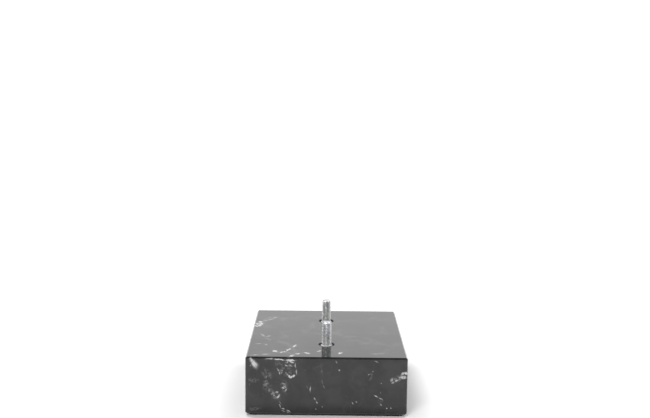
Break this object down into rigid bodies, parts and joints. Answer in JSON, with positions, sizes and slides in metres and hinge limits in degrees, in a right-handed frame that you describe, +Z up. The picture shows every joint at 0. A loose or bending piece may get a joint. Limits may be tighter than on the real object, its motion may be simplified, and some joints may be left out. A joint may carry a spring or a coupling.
{
  "type": "display plinth",
  "caption": "Low rectangular display plinth: a polished, veined black stone block on a felt base, with threaded studs standing out of its top to hold a statuette.",
  "frame": {"origin": "centre of the footprint, on the underside of the felt that rests on the shelf", "axes": "+Z up; the front, a short side of the block, faces -Y; +X to the right when seen from the front"},
  "size_m": [0.08, 0.1, 0.042],
  "materials": {
    "stone": "polished black marble with white and grey veins",
    "felt": "pressed wool felt, charcoal",
    "zinc_plate": "bright zinc plate",
    "spring_steel": "oiled spring steel",
    "rubber": "matte black rubber",
    "nylon": "black nylon"
  },
  "bodies": {
    "root": {"stone_block": "stone", "felt_base": "felt", "front_stud": "zinc_plate", "rear_stud": "zinc_plate", "front_sleeve": "nylon", "rear_sleeve": "nylon", "front_nut": "zinc_plate", "rear_nut": "zinc_plate", "front_spring_washer": "spring_steel", "rear_spring_washer": "spring_steel", "front_steel_washer": "zinc_plate", "rear_steel_washer": "zinc_plate", "front_rubber_washer": "rubber", "rear_rubber_washer": "rubber"}
  },
  "joints": []
}
